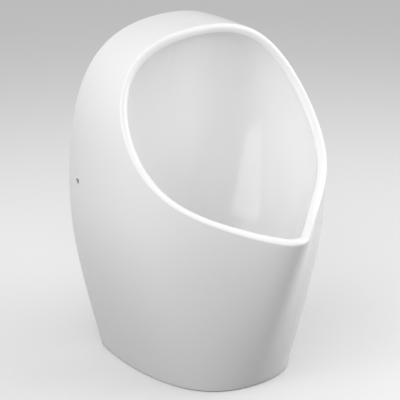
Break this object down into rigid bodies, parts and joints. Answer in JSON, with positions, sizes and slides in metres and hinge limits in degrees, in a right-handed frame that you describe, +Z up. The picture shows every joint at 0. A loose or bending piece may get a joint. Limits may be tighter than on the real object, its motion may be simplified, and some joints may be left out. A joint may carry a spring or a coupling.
{
  "type": "waterless urinal",
  "caption": "Wall-hung egg-shaped ceramic waterless urinal with a teardrop rim, a lift-out trap cartridge with a float valve, and a push-on waste socket at the wall.",
  "frame": {"origin": "on the wall plane, midway between the two bracket holes, 300 mm above the ceramic's foot", "axes": "+Z up, +Y into the wall, the lip points to -Y, the object is mirrored about X = 0"},
  "size_m": [0.3577, 0.3605, 0.5249],
  "materials": {
    "glazed_china": "gloss white glaze",
    "housing_plastic": "moulded white polypropylene",
    "nut_plastic": "moulded light grey polypropylene",
    "slip_plastic": "natural nylon",
    "seal_rubber": "black rubber",
    "cartridge_plastic": "satin light grey moulding",
    "cover_plastic": "satin white moulding",
    "cleaner_compound": "pressed blue cleaning compound",
    "float_plastic": "satin grey hollow moulding",
    "bracket_steel": "zinc-plated bent steel",
    "screw_steel": "stainless steel"
  },
  "bodies": {
    "body": {"ceramic_body": "glazed_china", "trap_housing": "housing_plastic", "outlet_pipe": "housing_plastic", "lock_nut": "nut_plastic", "outlet_nut": "nut_plastic", "slip_washer": "slip_plastic", "outlet_slip_ring": "slip_plastic", "flange_seal": "seal_rubber", "backing_seal": "seal_rubber", "outlet_cone_seal": "seal_rubber", "socket_seal": "seal_rubber", "wall_bracket_left": "bracket_steel", "wall_bracket_right": "bracket_steel", "bracket_pads": "seal_rubber", "screw_sleeves": "slip_plastic", "side_screws": "screw_steel", "clamp_nuts": "screw_steel"},
    "cartridge": {"inlet_funnel": "cartridge_plastic", "trap_cup": "cartridge_plastic", "trap_o_rings": "seal_rubber", "cleaner_block": "cleaner_compound"},
    "cover": {"trap_cover": "cover_plastic"},
    "float": {"trap_float": "float_plastic", "float_seal": "seal_rubber"}
  },
  "joints": [
    {"name": "cartridge_lift", "type": "slide", "parent": "body", "child": "cartridge", "axis": [0, 0, 1], "range_m": [0, 0.25]},
    {"name": "cover_lift", "type": "slide", "parent": "cartridge", "child": "cover", "axis": [0, 0, 1], "range_m": [0, 0.2]},
    {"name": "float_travel", "type": "slide", "parent": "cartridge", "child": "float", "axis": [0, 0, 1], "range_m": [0, 0.01]}
  ]
}
